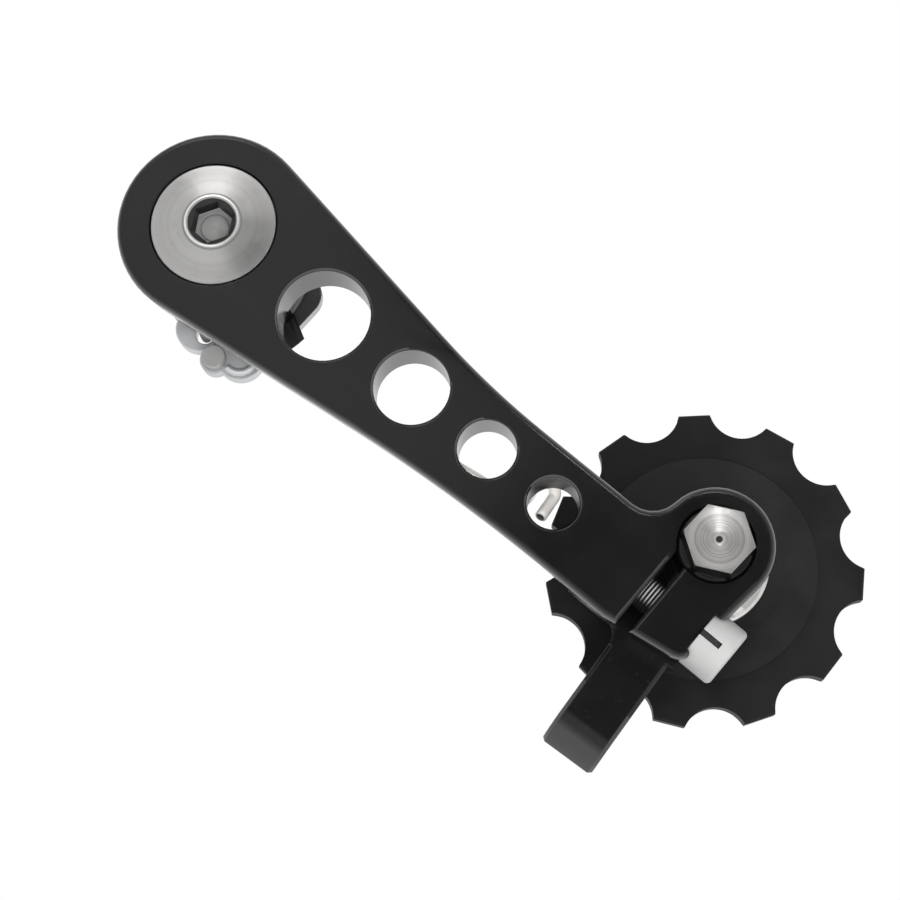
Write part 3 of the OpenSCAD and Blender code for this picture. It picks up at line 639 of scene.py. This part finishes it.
def sweep_wire(path, r, sides, end_bevel=0.12):
    """A round wire along a path, with a small bevel at its last end."""
    path = [Vector(point) for point in path]
    side = Vector((1, 0, 0))
    last = len(path) - 1
    rings = []
    for i, point in enumerate(path):
        along = (path[min(i + 1, last)] - path[max(i - 1, 0)]).normalized()
        side = (side - along * side.dot(along)).normalized()
        up = along.cross(side)
        turns = (FULL_TURN * k / sides for k in range(sides))
        rings.append([point + (side * math.cos(a) + up * math.sin(a)) * r for a in turns])
    end = path[last] + along * end_bevel
    rings.append([end + (corner - path[last]) * (1 - end_bevel / r) for corner in rings[-1]])
    bm = bmesh.new()
    grid(bm, rings, caps=True)
    return bm


skin("arm", "swing_arm", sharp=30)
skin("pulley", "pulley", sharp=30)
skin("axle", "axle", sharp=30)
skin("stop_plate", "hanger_bolt", sharp=34)
skin("stop_pin", "hanger_bolt", sharp=34)
pivot_bolt()
pinch_bolt()
wire = sweep_wire(spring_path(), WIRE_D / 2, sides=20)
spring = add("torsion_spring_wire", wire, "torsion_spring", sharp=50)
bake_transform(spring)


# Light and background
def white_strength(tree):
    """1 where the camera, gloss or clear material looks, and 0.5 as light on the object."""
    path = tree.nodes.new("ShaderNodeLightPath")
    through = math_node(tree, "MAXIMUM", path.outputs["Is Glossy Ray"], path.outputs["Is Transmission Ray"])
    seen = math_node(tree, "MAXIMUM", path.outputs["Is Camera Ray"], through)
    return math_node(tree, "ADD", math_node(tree, "MULTIPLY", seen, 0.5), 0.5)


def glow(owner, kind, output, strength=None):
    """One glowing shader on a material or the world. Without a strength it is the background's white."""
    owner.use_nodes = True
    tree = owner.node_tree
    tree.nodes.clear()
    node, out = tree.nodes.new(kind), tree.nodes.new(output)
    node.inputs["Color"].default_value = WHITE
    attach(tree, node.inputs["Strength"], white_strength(tree) if strength is None else strength)
    tree.links.new(node.outputs[0], out.inputs[0])
    return node, out


def studio_world():
    world = bpy.data.worlds.new("studio")
    bpy.context.scene.world = world
    glow(world, "ShaderNodeBackground", "ShaderNodeOutputWorld")


def white_floor(centre, width):
    """A plain white floor just under the thread's end. From below it is see-through."""
    bpy.ops.mesh.primitive_plane_add(size=width, location=centre)
    floor = bpy.context.object
    floor.name = "floor"
    material = bpy.data.materials.new("white_floor")
    white, out = glow(material, "ShaderNodeEmission", "ShaderNodeOutputMaterial")
    tree = material.node_tree
    side = tree.nodes.new("ShaderNodeMixShader")
    behind = tree.nodes.new("ShaderNodeNewGeometry").outputs["Backfacing"]
    clear = tree.nodes.new("ShaderNodeBsdfTransparent")
    for socket, value in zip(side.inputs, (behind, white.outputs[0], clear.outputs[0])):
        tree.links.new(value, socket)
    tree.links.new(side.outputs[0], out.inputs[0])
    floor.data.materials.append(material)


def turn_to(obj, target, axis):
    way = Vector(target) - obj.location
    obj.rotation_mode = "QUATERNION"
    obj.rotation_quaternion = way.to_track_quat(axis, "Y")


def card(name, centre, target, width, height, strength):
    """A studio card that only reflections see."""
    bpy.ops.mesh.primitive_plane_add(size=1)
    obj = bpy.context.object
    obj.name = name
    obj.scale = (width, height, 1)
    obj.location = centre
    turn_to(obj, target, "Z")
    material = bpy.data.materials.new(name)
    glow(material, "ShaderNodeEmission", "ShaderNodeOutputMaterial", strength)
    obj.data.materials.append(material)
    obj.visible_camera = False
    obj.visible_diffuse = False
    obj.visible_shadow = False


def lamp(name, centre, target, width, watts):
    """A soft round lamp that reflections don't see."""
    data = bpy.data.lights.new(name, "AREA")
    data.shape = "DISK"
    data.size = width
    data.energy = watts
    obj = bpy.data.objects.new(name, data)
    bpy.context.scene.collection.objects.link(obj)
    obj.location = centre
    turn_to(obj, target, "-Z")
    obj.visible_glossy = False


studio_world()
white_floor(centre=(0.05, 0.0, -0.0096), width=2.0)
card("dark_camera", (0.09, 0.045, 0.275), target=(0.09, 0.045, 0.0), width=0.15, height=0.16, strength=0.06)
card("window", (-0.28, 0.21, 0.40), target=(0.0, 0.0, 0.02), width=0.17, height=0.17, strength=4.5)
card("strip", (0.022, 0.118, 0.268), target=(0.078, 0.009, 0.026), width=0.03, height=0.03, strength=22.0)
card("dark_flag", (0.006, 0.059, 0.147), target=(0.0, 0.0, 0.023), width=0.05, height=0.05, strength=0.06)
lamp("key", (-0.10, 0.30, 0.45), target=(0.04, 0, 0.01), width=0.25, watts=0.9)
lamp("fill", (0.30, -0.12, 0.35), target=(0.07, 0, 0.01), width=0.3, watts=3.0)
lamp("front", (0.0895, -0.04, 0.262), target=(0.059, 0, 0.016), width=0.03, watts=0.34)
